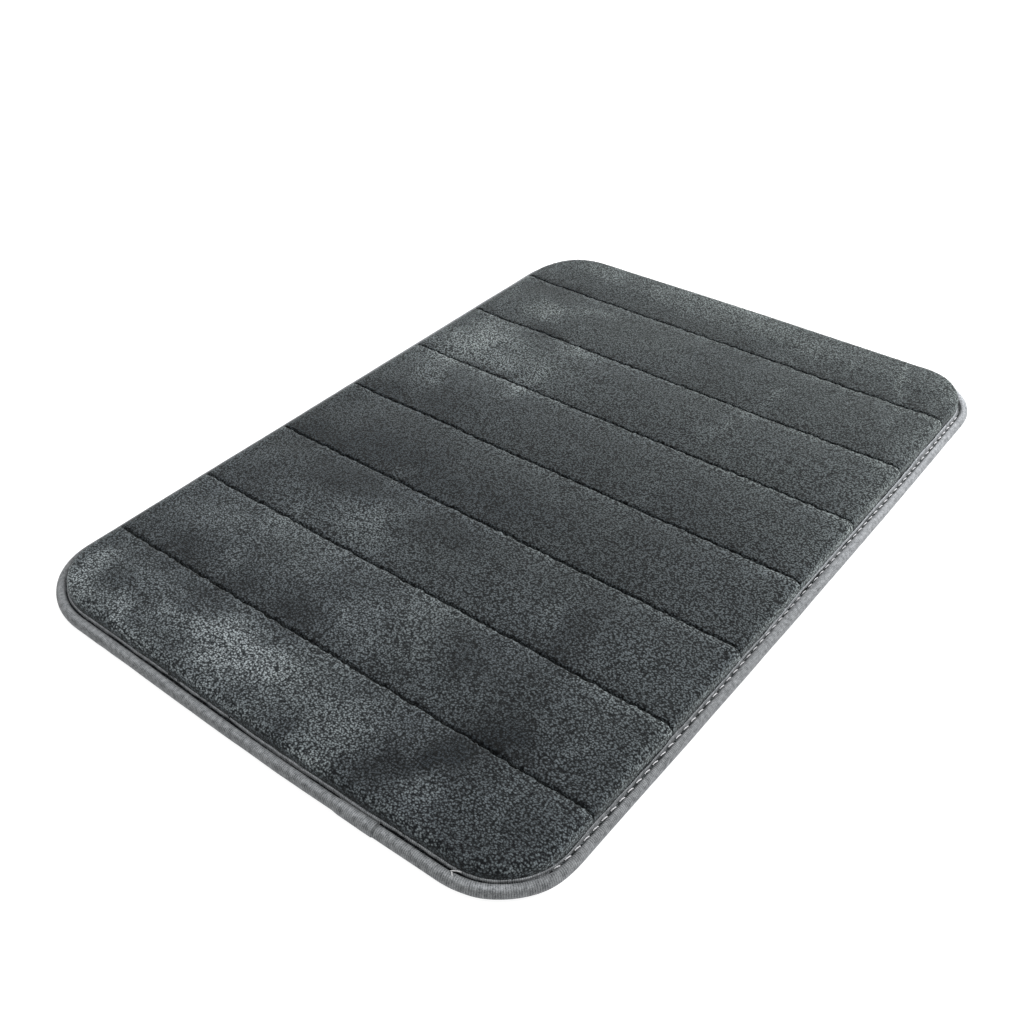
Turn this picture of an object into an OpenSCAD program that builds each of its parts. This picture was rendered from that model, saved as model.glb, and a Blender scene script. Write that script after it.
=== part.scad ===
// Bath mat: a foam slab quilted in panels between a plush cover and a dotted anti-slip backing,
// with its edge bound in a folded woven tape.
// Millimetres. Length runs along X, width along Y, +Z is up.
// The origin is the middle of the flat underside, on the plane that the mat rests on.

/* [Mat] */
// Length of the mat, over the binding
mat_len = 600; // [580:5:620]
// Width of the mat, over the binding
mat_wid = 400; // [300:5:600]
// Radius of the mat's corners, over the binding
corner_r = 54; // [44:1:70]

/* [Quilting] */
// Number of sewn channels across the mat
channels = 7; // [3:1:7]
// Distance from one channel to the next
channel_pitch = 76; // [60:1:78]
// How far the middle channel lies from the middle of the mat, along the length
channel_shift = 4; // [-6:0.5:6]
// Clear width at the bottom of a channel
channel_w = 1.4; // [1:0.1:2.5]
// Distance from a channel at which its panel reaches the full height
lip_w = 8; // [6:0.5:24]

/* [Layers] */
// Height of the plush cover's tips at the middle of a panel
top_z = 16; // [14:0.5:22]
// Depth of the pile and its ground cloth at the middle of a panel
cover_t = 4; // [2.5:0.25:5]
// Height of the cover's surface at the bottom of a channel
channel_z = 6.5; // [5.5:0.25:8]
// Thickness of the crushed cover at the bottom of a channel
crushed_t = 2; // [1.5:0.1:2.5]
// Thickness of the knitted backing
backing_t = 0.7; // [0.5:0.1:1]

/* [Grip dots] */
// Height of the dots, which is also how far the backing stands off the floor
dot_h = 0.8; // [0.7:0.05:1]
// Diameter of a dot
dot_d = 4; // [2:0.25:5]
// Columns of dots in each quilted panel
dot_cols = 6; // [2:1:6]
// Distance from one dot to the next in a column
dot_pitch = 20; // [10:1:24]
// Plain margin between the outermost dots and the mat's edge
dot_margin = 17; // [14:1:30]

/* [Binding tape] */
// Thickness of the tape
tape_t = 0.6; // [0.4:0.05:0.6]
// Height of the rolled edge
roll_h = 7.9; // [7.6:0.1:8.6]
// Depth of the rolled edge, from its outside to the flat of the lap
roll_w = 3.4; // [2.5:0.1:3.8]
// Distance from the mat's edge to the row of stitches
seam_in = 6; // [5.6:0.1:6.4]
// Distance from the mat's edge to the tape's own two edges
lap_in = 9; // [8.6:0.1:10]
// Length of the second turn of tape where its end overlaps its start
overlap_len = 26; // [15:1:40]
// Middle of that overlap along the -X edge, from the middle of the edge
overlap_y = -91; // [-125:1:100]

/* [Thread] */
// Length of one stitch in the binding
stitch = 8; // [6:0.5:10]
// Length of one stitch in the quilting
quilt_stitch = 10; // [8:0.5:12]
// Thickness of the thread
thread_t = 0.5; // [0.3:0.05:0.5]

/* [Hidden] */
$fn = 96;

backing_z = dot_h;                      // underside of the backing
foam_z = backing_z + backing_t;         // underside of the foam
foam_top_z = top_z - cover_t;           // top of the foam at the middle of a panel
cover_wall = 2.2;                       // thickness of the cover down a channel's side
rim_in = 38;                            // the rounded rim ends this far in
blend = 3.2;                            // roundness of lips and rim: 2 is an ellipse

pinch = 0.6;                            // how far the stitches draw in the underside
pinch_w = 1.4;                          // half the width of the dent that they make
pinch_flat = 0.4;                       // half the width of the flat at its bottom
groove_z = roll_h - 1.3;                // top of the tape along its stitches
lip_z = roll_h + 0.3;                   // top of the tape's inner edge, which stands up a little
slack = 0.1;                            // air between one layer and the next under the tape
tuck_z = groove_z - tape_t - slack;     // top of the cover along the stitches
shoulder_z = roll_h - tape_t - 2 * slack;   // top of the cover inside the roll
seam_crush = 0.2;                       // the stitches crush the cover by this much more
foam_tuck_z = tuck_z - crushed_t + seam_crush;  // top of the foam along the stitches
foam_bulge = 2.2;                       // how far the foam fills out the roll
snap = 0.001;                           // profile points lie on a grid this fine
roll_steps = 12;
lap_step = 9;                           // the lapped end starts at this step of the roll
rise_steps = 8;

leg_w = 2 * thread_t;                   // the needle thread goes in and out by the same hole
hole_gap = 0.05;                        // clearance of a needle hole round its thread
quilt_in = 10.5;                        // the quilting stops this far from the mat's edge
above = top_z + 2;                      // height clear of everything
below = -1;

edge_x = mat_len - 2 * corner_r;        // straight length of the long edges
edge_y = mat_wid - 2 * corner_r;        // straight length of the short edges
quilt_count = floor((mat_wid - 2 * quilt_in) / quilt_stitch);
quilt_len = quilt_stitch * quilt_count;

dot_facets = 24;
dot_stagger = 0.25;                     // each column is shifted this share of a pitch, by turns

function channel_x(i) = channel_shift + (i - (channels - 1) / 2) * channel_pitch;
function stitches(len) = round(len / stitch);
function reversed(points) = [for (i = [len(points) - 1:-1:0]) points[i]];
function snapped(points) = [for (p = points) [round(p[0] / snap), round(p[1] / snap)] * snap];
function corner_turn(x, y) = x > 0 ? (y > 0 ? 0 : 270) : (y > 0 ? 90 : 180);

// ---- outline and edge -----------------------------------------------------------------------

module rounded_rect(len, wid, r) {
    square([len - 2 * r, wid], center = true);
    square([len, wid - 2 * r], center = true);
    for (x = [-1, 1], y = [-1, 1])
        translate([x * (len / 2 - r), y * (wid / 2 - r)]) circle(r);
}

// The mat's outline, drawn in by a distance.
module outline(inset) {
    rounded_rect(mat_len - 2 * inset, mat_wid - 2 * inset, corner_r - inset);
}

// Straight length of a profile, centred on Y. Profile points are [distance in from edge, height],
// and the distance runs along +X.
module straight_run(profile, len) {
    rotate([90, 0, 0]) translate([0, 0, -len / 2]) linear_extrude(len) polygon(snapped(profile));
}

// Sweeps a closed profile all round the mat's edge.
module sweep_edge(profile) {
    for (side = [0, 180]) {
        rotate(side) translate([-mat_len / 2, 0, 0]) straight_run(profile, edge_y);
        rotate(side + 90) translate([-mat_wid / 2, 0, 0]) straight_run(profile, edge_x);
    }
    for (x = [-1, 1], y = [-1, 1])
        translate([x * edge_x / 2, y * edge_y / 2, 0])
            rotate(corner_turn(x, y))
                rotate_extrude(angle = 90)
                    polygon([for (p = snapped(profile)) [corner_r - p[0], p[1]]]);
}

// ---- padded shape ---------------------------------------------------------------------------

// Rounded rise from one profile point to another: steep at the start and level at the end.
function rise(from, to) = [
    for (s = [0:rise_steps])
        let (turn = 90 * s / rise_steps)
            [from[0] + (to[0] - from[0]) * (1 - pow(cos(turn), 2 / blend)),
             from[1] + (to[1] - from[1]) * pow(sin(turn), 2 / blend)]
];

// Level line at a height from the inside to the edge of a layer, dented where it is sewn.
function sewn_base(z, edge_in) = [
    [rim_in, z], [seam_in + pinch_w, z], [seam_in + pinch_flat, z + pinch],
    [seam_in - pinch_flat, z + pinch], [seam_in - pinch_w, z], [edge_in, z]
];

// Body with a rim that falls to the crushed edge under the tape. edge is its outer end,
// seam_top and lap_top its heights at the stitches and at the tape's inner edge.
module rimmed_body(base, edge, seam_top, lap_top, high) {
    sweep_edge(concat(
        base, edge,
        [[seam_in - pinch_flat, seam_top], [seam_in + pinch_flat, seam_top]],
        rise([lap_in + slack, lap_top], [rim_in, high])
    ));
    translate([0, 0, base[0][1]]) linear_extrude(high - base[0][1]) outline(rim_in);
}

// The cutter that leaves a channel between two panels.
module channel_cut(width, low, high) {
    side = rise([width / 2, low], [lip_w, high]);
    rotate([90, 0, 0]) translate([0, 0, -mat_wid]) linear_extrude(2 * mat_wid)
        polygon(concat(
            side, [[lip_w, above], [-lip_w, above]],
            [for (p = reversed(side)) [-p[0], p[1]]]
        ));
}

module quilted(width, low, high) {
    difference() {
        children();
        for (i = [0:channels - 1]) translate([channel_x(i), 0, 0]) channel_cut(width, low, high);
    }
}

module cover_outside() {
    quilted(channel_w, channel_z, top_z)
        rimmed_body(sewn_base(foam_z, roll_w), [[roll_w, shoulder_z],
                    [seam_in - pinch_w, shoulder_z]], tuck_z, shoulder_z - slack, top_z);
}

// The foam's outline, filled down to base_z.
module foam_outside(base_z) {
    foam_edge_z = shoulder_z - crushed_t;
    mid_z = (foam_z + foam_edge_z) / 2;
    edge = [
        for (s = [1:roll_steps])
            let (turn = -90 + 180 * s / roll_steps)
                [roll_w - foam_bulge * cos(turn), mid_z + (foam_edge_z - mid_z) * sin(turn)]
    ];
    quilted(channel_w + 2 * cover_wall, channel_z - crushed_t, foam_top_z)
        rimmed_body(sewn_base(base_z, roll_w), edge, foam_tuck_z, shoulder_z - crushed_t - slack,
                    foam_top_z);
}

// ---- sewing ---------------------------------------------------------------------------------

// Puts its children at each needle hole of a straight row along Y, centred on the origin.
module at_row(len, count) {
    for (k = [0:count]) translate([0, -len / 2 + k * len / count, 0]) children();
}

// Puts its children at each needle hole of the binding's seam.
module at_binding_holes() {
    for (side = [0, 180]) {
        rotate(side) translate([-mat_len / 2 + seam_in, 0, 0])
            at_row(edge_y, stitches(edge_y)) children();
        rotate(side + 90) translate([-mat_wid / 2 + seam_in, 0, 0])
            at_row(edge_x, stitches(edge_x)) children();
    }
    at_corner_stitches(0) children();
}

// Puts its children at the needle holes inside each corner, or half a stitch on for turn = 0.5.
module at_corner_stitches(turn) {
    radius = corner_r - seam_in;
    count = stitches(radius * PI / 2);
    for (x = [-1, 1], y = [-1, 1], k = [(turn > 0 ? 0 : 1):count - 1])
        translate([x * edge_x / 2, y * edge_y / 2, 0])
            rotate(corner_turn(x, y) + 90 * (k + turn) / count)
                translate([radius * (turn > 0 ? cos(45 / count) : 1), 0, 0]) children();
}

module needle_hole() {
    square([thread_t, leg_w] + 2 * [hole_gap, hole_gap], center = true);
}

module sewing_holes() {
    translate([0, 0, below]) linear_extrude(above - below) {
        at_binding_holes() needle_hole();
        for (i = [0:channels - 1])
            translate([channel_x(i), 0]) at_row(quilt_len, quilt_count) needle_hole();
    }
}

// Needle thread of a straight row of stitches, centred on the origin along Y. It lies on z = 0,
// dips at every hole and reaches down through it by leg.
module needle_row(len, count, leg) {
    step = len / count;
    start = -len / 2;
    crown = [
        for (k = [0:count - 1]) each [
            [start + k * step, thread_t / 2],
            [start + (k + 0.5) * step, thread_t]
        ]
    ];
    legs = [
        for (k = [count:-1:0]) each [
            [start + k * step + leg_w / 2, 0], [start + k * step + leg_w / 2, -leg],
            [start + k * step - leg_w / 2, -leg], [start + k * step - leg_w / 2, 0]
        ]
    ];
    rotate([90, 0, 90]) translate([0, 0, -thread_t / 2]) linear_extrude(thread_t)
        polygon(concat(crown, [[-start, thread_t / 2], [leg_w / 2 - start, thread_t / 2]], legs,
                       [[start - leg_w / 2, thread_t / 2]]));
}

// Square section of the bobbin thread under the binding, as a profile of the mat's edge.
bobbin_section = [
    [seam_in - thread_t / 2, pinch - thread_t], [seam_in + thread_t / 2, pinch - thread_t],
    [seam_in + thread_t / 2, pinch], [seam_in - thread_t / 2, pinch]
];

// ---- sub-parts ------------------------------------------------------------------------------

// Plush cover: a ground cloth with its pile, in one skin over the foam.
module pile_cover() {
    color("#454d50") difference() {
        cover_outside();
        foam_outside(below);
        sewing_holes();
    }
}

// Slow-recovery foam slab, squeezed thin along every seam.
module foam_core() {
    color("#d9d3c4") difference() {
        foam_outside(foam_z);
        sewing_holes();
    }
}

// Knitted backing cloth.
module backing_mesh() {
    color("#4a4f52") difference() {
        union() {
            sweep_edge(concat(
                sewn_base(backing_z, roll_w), reversed(sewn_base(foam_z, roll_w))
            ));
            translate([0, 0, backing_z]) linear_extrude(backing_t) outline(rim_in);
        }
        sewing_holes();
    }
}

// Soft vinyl dots in staggered columns between the channels.
module grip_dots() {
    step = channel_pitch / dot_cols;
    reach = mat_len / 2 - dot_margin;
    half = mat_wid / 2 - dot_margin;
    bend = corner_r - dot_margin;
    last_col = ceil(mat_len / step);
    last_row = ceil(half / dot_pitch);
    color("#3a3f42")
        for (c = [-last_col:last_col], r = [-last_row:last_row]) {
            x = channel_shift + (c + 0.5) * step;
            y = (r + (c % 2 == 0 ? dot_stagger : -dot_stagger)) * dot_pitch;
            out_x = abs(x) - (reach - bend);
            out_y = abs(y) - (half - bend);
            inside = abs(x) <= reach && abs(y) <= half
                && (out_x < 0 || out_y < 0 || norm([out_x, out_y]) <= bend);
            if (inside) translate([x, y, 0]) cylinder(h = dot_h, d = dot_d, $fn = dot_facets);
        }
}

// Unit normal of the path at a point, to its left.
function left_normal(path, i) =
    let (
        a = path[max(i - 1, 0)],
        b = path[min(i + 1, len(path) - 1)],
        along = (b - a) / norm(b - a)
    ) [-along[1], along[0]];

// Outside of the folded tape, from its lower inner edge round the roll to its upper one.
function tape_outside() = concat(
    [[lap_in, 0], [seam_in + pinch_w, 0], [seam_in + pinch_flat, pinch],
     [seam_in - pinch_flat, pinch], [seam_in - pinch_w, 0]],
    roll_arc(0),
    [[seam_in - pinch_w, roll_h], [seam_in - pinch_flat, groove_z],
     [seam_in + pinch_flat, groove_z], [seam_in + pinch_w, groove_z + pinch], [lap_in, lip_z]]
);

// The roll of the tape from one of its steps up to its top.
function roll_arc(first) = [
    for (s = [first:roll_steps])
        let (turn = -90 + 180 * s / roll_steps)
            [roll_w * (1 - cos(turn)), roll_h / 2 * (1 + sin(turn))]
];

// Closed profile of a layer of tape that lies to one side of a path.
function tape_layer(path, from, to) = concat(
    [for (i = [0:len(path) - 1]) path[i] + from * left_normal(path, i)],
    reversed([for (i = [0:len(path) - 1]) path[i] + to * left_normal(path, i)])
);

// Woven tape folded over the edge all round, with its end lapped over its start.
module edge_binding() {
    color("#74777b") difference() {
        union() {
            sweep_edge(tape_layer(tape_outside(), 0, -tape_t));
            lapped_end();
        }
        sewing_holes();
    }
}

// The end of the tape, on top of its start, as far out as the mat's outline allows.
module lapped_end() {
    path = concat(roll_arc(lap_step), [[seam_in - pinch_w, roll_h]]);
    translate([-mat_len / 2, overlap_y, 0])
        straight_run(tape_layer(path, 0, tape_t), overlap_len);
}

// Thread that shows on top of the binding. Its legs go down to the bobbin thread.
module binding_needle_thread() {
    leg = groove_z - pinch;
    turn_count = stitches((corner_r - seam_in) * PI / 2);
    chord = 2 * (corner_r - seam_in) * sin(45 / turn_count);
    color("#c9cccf") translate([0, 0, groove_z]) {
        for (side = [0, 180]) {
            rotate(side) translate([-mat_len / 2 + seam_in, 0, 0])
                needle_row(edge_y, stitches(edge_y), leg);
            rotate(side + 90) translate([-mat_wid / 2 + seam_in, 0, 0])
                needle_row(edge_x, stitches(edge_x), leg);
        }
        at_corner_stitches(0.5) needle_row(chord, 1, leg);
    }
}

// Thread that runs along the underside of the binding and holds the needle thread's loops.
module binding_bobbin_thread() {
    color("#8b8e91") sweep_edge(bobbin_section);
}

module quilt_needle_thread(i) {
    color("#2c3235") translate([channel_x(i - 1), 0, channel_z])
        needle_row(quilt_len, quilt_count, channel_z - backing_z);
}

module quilt_bobbin_thread(i) {
    color("#3c4245") translate([channel_x(i - 1), 0, backing_z - thread_t / 2])
        cube([thread_t, quilt_len + leg_w, thread_t], center = true);
}

pile_cover();
foam_core();
backing_mesh();
grip_dots();
edge_binding();
binding_needle_thread();
binding_bobbin_thread();
for (i = [1:channels]) {
    quilt_needle_thread(i);
    quilt_bobbin_thread(i);
}
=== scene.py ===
"""The looks of the bath mat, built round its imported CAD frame.

Shapes are worked out in millimetres as numpy arrays, and turned into metres when a mesh is made.
+X runs along the mat's length, across the quilted channels; +Y along its width; +Z is up.
"""

import itertools
import math

import bpy
import numpy as np
from mathutils import Matrix, Vector


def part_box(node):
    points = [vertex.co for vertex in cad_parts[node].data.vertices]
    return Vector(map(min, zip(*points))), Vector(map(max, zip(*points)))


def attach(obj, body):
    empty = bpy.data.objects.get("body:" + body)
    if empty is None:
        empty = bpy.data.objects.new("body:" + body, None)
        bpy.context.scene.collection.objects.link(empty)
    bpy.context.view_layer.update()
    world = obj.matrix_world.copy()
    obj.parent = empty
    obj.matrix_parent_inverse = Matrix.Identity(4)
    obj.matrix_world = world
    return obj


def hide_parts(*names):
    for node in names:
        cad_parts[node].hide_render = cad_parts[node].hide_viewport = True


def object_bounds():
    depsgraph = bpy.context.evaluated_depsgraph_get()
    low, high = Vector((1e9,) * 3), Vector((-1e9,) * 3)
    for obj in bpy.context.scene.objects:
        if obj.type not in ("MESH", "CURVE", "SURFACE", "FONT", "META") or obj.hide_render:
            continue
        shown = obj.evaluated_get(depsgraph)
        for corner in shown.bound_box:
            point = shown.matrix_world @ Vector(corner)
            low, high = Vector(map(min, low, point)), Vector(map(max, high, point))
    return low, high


MM = 0.001
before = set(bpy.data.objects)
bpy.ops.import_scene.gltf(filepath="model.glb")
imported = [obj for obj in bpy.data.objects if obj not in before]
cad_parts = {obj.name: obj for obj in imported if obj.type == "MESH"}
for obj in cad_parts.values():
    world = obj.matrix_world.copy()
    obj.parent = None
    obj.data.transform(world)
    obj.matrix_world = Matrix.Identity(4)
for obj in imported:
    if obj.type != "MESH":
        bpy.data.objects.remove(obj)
cad_box = [list(corner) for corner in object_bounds()]


def box_mm(node):
    """Lowest and highest corner of a CAD node, in millimetres."""
    low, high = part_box(node)
    return np.array(low) / MM, np.array(high) / MM


# ---- sizes, from the frame ----

LOW, HIGH = (np.array(corner) / MM for corner in cad_box)
LENGTH, WIDTH = (HIGH - LOW)[:2]
TOP_Z = box_mm("pile_cover")[1][2]
CHANNELS = sum(name.startswith("quilt_needle_thread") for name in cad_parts)
CHANNEL_X = [
    np.mean([corner[0] for corner in box_mm(f"quilt_needle_thread_{i + 1}")])
    for i in range(CHANNELS)
]
QUILT_HALF = box_mm("quilt_needle_thread_1")[1][1]  # half the length of a quilting seam

# Sizes that repeat part.scad
CORNER_R = 54.0
SEAM_IN = 6.0  # the binding's seam, in from the edge
LAP_IN = 9.0  # the tape's lower inner edge
ROLL_W, ROLL_H = 3.4, 7.9  # the round outer edge of the tape
GROOVE_Z = ROLL_H - 1.3  # the tape's top along its seam
TAPE_T = 0.6
CHANNEL_Z = 6.5  # the cover's top in a channel
BACKING_IN = 4.6  # the backing ends this far in, inside the tape's fold
BACKING_Z, BACKING_T = 0.8, 0.7
QUILT_STITCH, STITCH = 10.0, 8.0  # stitch lengths, in the channels and in the binding
OVERLAP_Y, OVERLAP_LEN = -91.0, 26.0  # where the tape's end laps over its start

STRAIGHT_X = LENGTH / 2 - CORNER_R
STRAIGHT_Y = WIDTH / 2 - CORNER_R


# ---- noise ----


def hash01(seed, *cells):
    """A fixed number from 0 to 1 for each whole-numbered cell."""
    cells = np.broadcast_arrays(*cells)
    value = np.full(np.shape(cells[0]), (seed * 2654435761 + 97) & 0xFFFFFFFF, dtype=np.uint32)
    for cell in cells:
        value ^= (np.asarray(cell) + 100000).astype(np.uint32)
        value *= np.uint32(2246822519)
        value ^= value >> np.uint32(13)
        value *= np.uint32(3266489917)
        value ^= value >> np.uint32(16)
    return value / 2.0**32


def smooth_noise(seed, size, *axes):
    """Smooth noise from -1 to 1, with bumps about size across, in as many dimensions as axes."""
    scaled = [np.asarray(axis) / size for axis in axes]
    cells = [np.floor(axis).astype(np.int64) for axis in scaled]
    fades = [(a - c) ** 2 * (3 - 2 * (a - c)) for a, c in zip(scaled, cells)]
    total = 0
    for corner in itertools.product((0, 1), repeat=len(axes)):
        weight = 1
        for step, fade in zip(corner, fades):
            weight = weight * (fade if step else 1 - fade)
        total = total + weight * hash01(seed, *(c + s for c, s in zip(cells, corner)))
    return 2 * total - 1


def rough_noise(seed, size, *axes):
    """Two sizes of smooth noise together."""
    return 0.67 * smooth_noise(seed, size, *axes) + 0.33 * smooth_noise(seed + 1, size / 2.1, *axes)


def tufts(seed, size, points):
    """How far up its tuft each point of the pile is, from 0 to 1, and its tuft's own number."""
    scaled = points / size
    cells = np.floor(scaled).astype(np.int64)
    first = np.full(len(points), 9.0)
    second = np.full(len(points), 9.0)
    number = np.zeros(len(points))
    for step in itertools.product((-1, 0, 1), repeat=3):
        near = [cells[:, a] + step[a] for a in range(3)]
        gap = sum(
            (near[a] + 0.15 + 0.7 * hash01(seed + a, *near) - scaled[:, a]) ** 2 for a in range(3)
        )
        closer = gap < first
        second = np.where(closer, first, np.minimum(second, gap))
        number = np.where(closer, hash01(seed + 7, *near), number)
        first = np.where(closer, gap, first)
    first, second = np.sqrt(first), np.sqrt(second)
    dome = np.clip(1 - (first / 0.85) ** 2, 0, 1)
    parting = np.clip((second - first) / 0.35, 0, 1)
    return dome * (0.35 + 0.65 * parting), number


def smoothstep(low, high, value):
    """0 below low, 1 above high, and a smooth rise between."""
    t = np.clip((value - low) / (high - low), 0, 1)
    return t * t * (3 - 2 * t)


def bell(value, width):
    """1 where the value is 0, fading out to both sides."""
    return np.exp(-((value / width) ** 2))


def running(steps):
    """Running total of the steps, from 0."""
    return np.concatenate([[0], np.cumsum(steps)])


# ---- meshes ----


def settle(points):
    """Points moved as the soft mat lies: its outline isn't quite true, and its far sides bulge."""
    points = np.array(points, dtype=float)
    x, y = points[:, 0].copy(), points[:, 1].copy()
    corner = smoothstep(0, 25, np.abs(x) - STRAIGHT_X) * smoothstep(0, 25, np.abs(y) - STRAIGHT_Y)
    left = (-2.2 + 3.0 * bell(y + 30, 125)) * (1 - 0.9 * corner * (y < 0))
    right = 2.0 - 3.0 * smoothstep(-20, 180, y)
    front = (0.5 - 1.5 * (x / 250) ** 2) * (1 - 0.9 * corner)
    points[:, 0] += right * smoothstep(238, 296, x) - left * smoothstep(232, 296, -x)
    points[:, 1] += 3.4 * smoothstep(130, 196, y) - front * smoothstep(130, 196, -y)
    # The corner at +X and -Y is fuller than the others.
    over_x, over_y = np.clip(x - STRAIGHT_X, 0, None), np.clip(-y - STRAIGHT_Y, 0, None)
    fuller = 2.5 * over_x * over_y / CORNER_R**2
    points[:, 0] += fuller
    points[:, 1] -= fuller
    return points


def new_piece(name, points, face_sets, material, attributes=()):
    """A smooth-shaded mesh object from points in millimetres. Each face set is an array with one
    face a row, all with the same number of corners."""
    points = settle(points)
    mesh = bpy.data.meshes.new(name)
    face_sets = [np.asarray(faces, dtype=np.int32) for faces in face_sets if len(faces)]
    corners = np.concatenate([faces.ravel() for faces in face_sets])
    sizes = np.concatenate([np.full(len(faces), faces.shape[1]) for faces in face_sets])
    mesh.vertices.add(len(points))
    mesh.vertices.foreach_set("co", (points * MM).astype(np.float32).ravel())
    mesh.loops.add(len(corners))
    mesh.loops.foreach_set("vertex_index", corners)
    mesh.polygons.add(len(sizes))
    starts = running(sizes)[:-1].astype(np.int32)
    mesh.polygons.foreach_set("loop_start", starts)
    mesh.polygons.foreach_set("use_smooth", np.ones(len(sizes), dtype=bool))
    mesh.update(calc_edges=True)
    for key, values in attributes:
        layer = mesh.attributes.new(key, "FLOAT", "POINT")
        layer.data.foreach_set("value", np.asarray(values, dtype=np.float32))
    mesh.materials.append(material)
    piece = bpy.data.objects.new(name, mesh)
    bpy.context.scene.collection.objects.link(piece)
    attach(piece, "root")
    return piece


def grid_normals(points):
    """Unit normals of a grid of points of shape (n, m, 3)."""
    along, across = np.gradient(points, axis=0), np.gradient(points, axis=1)
    normal = np.cross(along, across)
    return normal / np.maximum(np.linalg.norm(normal, axis=2, keepdims=True), 1e-9)


def grid_quads(rows, columns, closed_rows=False, closed_columns=False):
    """Faces of a grid whose points are numbered row by row."""
    i, j = np.meshgrid(
        np.arange(rows - (not closed_rows)), np.arange(columns - (not closed_columns)), indexing="ij"
    )
    i, j = i.ravel(), j.ravel()
    i2, j2 = (i + 1) % rows, (j + 1) % columns
    return np.stack([i * columns + j, i2 * columns + j, i2 * columns + j2, i * columns + j2], 1)


def rim_index(rows, columns):
    """Numbers of a grid's outermost points, in order round it."""
    return np.concatenate([
        np.arange(rows) * columns,
        (rows - 1) * columns + np.arange(1, columns),
        np.arange(rows - 2, -1, -1) * columns + columns - 1,
        np.arange(columns - 2, 0, -1),
    ])


# ---- the mat's outline ----

EDGE_PARTS = [2 * STRAIGHT_Y, 0, 2 * STRAIGHT_X, 0, 2 * STRAIGHT_Y, 0, 2 * STRAIGHT_X, 0]


def edge_length(inset):
    """Length of the mat's outline, drawn in by inset."""
    return 4 * (STRAIGHT_X + STRAIGHT_Y) + 2 * math.pi * (CORNER_R - inset)


def edge_point(distance, inset, reference):
    """Points on the outline drawn in by inset. distance runs anticlockwise along the outline drawn
    in by reference, from the start of the +X edge. Also gives the outward direction's angle."""
    arc = (CORNER_R - reference) * math.pi / 2
    lengths = [part if part else arc for part in EDGE_PARTS]
    breaks = running(lengths)
    x = np.array([1, 1, 1, -1, -1, -1, -1, 1, 1]) * STRAIGHT_X
    y = np.array([-1, 1, 1, 1, 1, -1, -1, -1, -1]) * STRAIGHT_Y
    turn = np.array([0, 0, 1, 1, 2, 2, 3, 3, 4]) * math.pi / 2
    distance = np.mod(distance, breaks[-1])
    angle = np.interp(distance, breaks, turn)
    radius = CORNER_R - inset
    return (
        np.interp(distance, breaks, x) + radius * np.cos(angle),
        np.interp(distance, breaks, y) + radius * np.sin(angle),
        angle,
    )


# ---- padded surface ----

CELLS_LONG, CELLS_SHORT, COARSE = 750, 500, 5
RINGS = CELLS_SHORT // 2
RIM_END = 18.0  # the rim has risen to the panel's height this far in
LIP_W = 2.1  # and a panel this far from a channel
LIP_ROUND = 3.6  # how square a panel's edge is along a channel: 2 is an ellipse
SLIT = 0.3  # half the width of a channel's bottom
FOOT_IN, FOOT_Z = 8.7, 6.9  # where the rim starts to rise, on the short sides
RIM_ROUND = 3.4  # how square the rim is
CLOTH_T = 1.5  # the cover's thickness in a channel, without its pile


def rise(share, roundness):
    """Superelliptic rise from 0 to 1: steep at first and level at the end."""
    return (1 - (1 - np.clip(share, 0, 1)) ** roundness) ** (1 / roundness)


def rim_section():
    """Inset and height of the cover at each ring, from inside the roll to the middle of the mat."""
    tuck = [(4.0, 6.9), (5.0, 6.6), (5.8, 5.8), (6.6, 5.7), (7.6, 6.0), (8.5, 6.5)]
    turn = np.linspace(0, math.pi / 2, 60)[1:]
    height = TOP_Z - 0.6
    wall = [
        (
            FOOT_IN + (RIM_END - FOOT_IN) * (1 - math.cos(t) ** (2 / RIM_ROUND)),
            FOOT_Z + (height - FOOT_Z) * math.sin(t) ** (2 / RIM_ROUND),
        )
        for t in turn
    ]
    crown = [(38.0, TOP_Z - 0.15), (60.0, TOP_Z), (WIDTH / 2, TOP_Z)]
    section = np.array(tuck + wall + crown)
    run = running(np.linalg.norm(np.diff(section, axis=0), axis=1))
    places = np.linspace(0, run[-1], RINGS + 1)
    return np.interp(places, run, section[:, 0]), np.interp(places, run, section[:, 1])


def ring_grid(insets):
    """(x, y) of a grid of points laid out in rings that follow the mat's outline, and each
    point's ring."""
    i, j = np.meshgrid(np.arange(CELLS_LONG + 1), np.arange(CELLS_SHORT + 1), indexing="ij")
    ring = np.minimum(np.minimum(i, CELLS_LONG - i), np.minimum(j, CELLS_SHORT - j))
    inset = insets[ring]
    radius = np.maximum(CORNER_R - inset, 0)
    on_long_side = np.minimum(j, CELLS_SHORT - j) == ring

    def along(index, cells, half):
        share = (index - ring) / np.maximum(cells - 2 * ring, 1) - 0.5
        straight = half - radius
        place = share * 2 * (straight + radius * math.pi / 4)
        turn = np.clip(np.abs(place) - straight, 0, None) / np.maximum(radius, 1e-6)
        reach = np.minimum(np.abs(place), straight) + radius * np.sin(turn)
        return np.sign(place) * reach, radius * (1 - np.cos(turn))

    half_x, half_y = LENGTH / 2 - inset, WIDTH / 2 - inset
    long_x, long_drop = along(i, CELLS_LONG, half_x)
    short_y, short_drop = along(j, CELLS_SHORT, half_y)
    side_x = np.where(2 * i < CELLS_LONG, -1, 1) * (half_x - short_drop)
    side_y = np.where(2 * j < CELLS_SHORT, -1, 1) * (half_y - long_drop)
    return np.where(on_long_side, long_x, side_x), np.where(on_long_side, side_y, short_y), ring


def long_foot(x):
    """How much nearer the edge the rim rises on the long sides."""
    return 0.5 - 0.8 * smoothstep(-200, 200, x)


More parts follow.
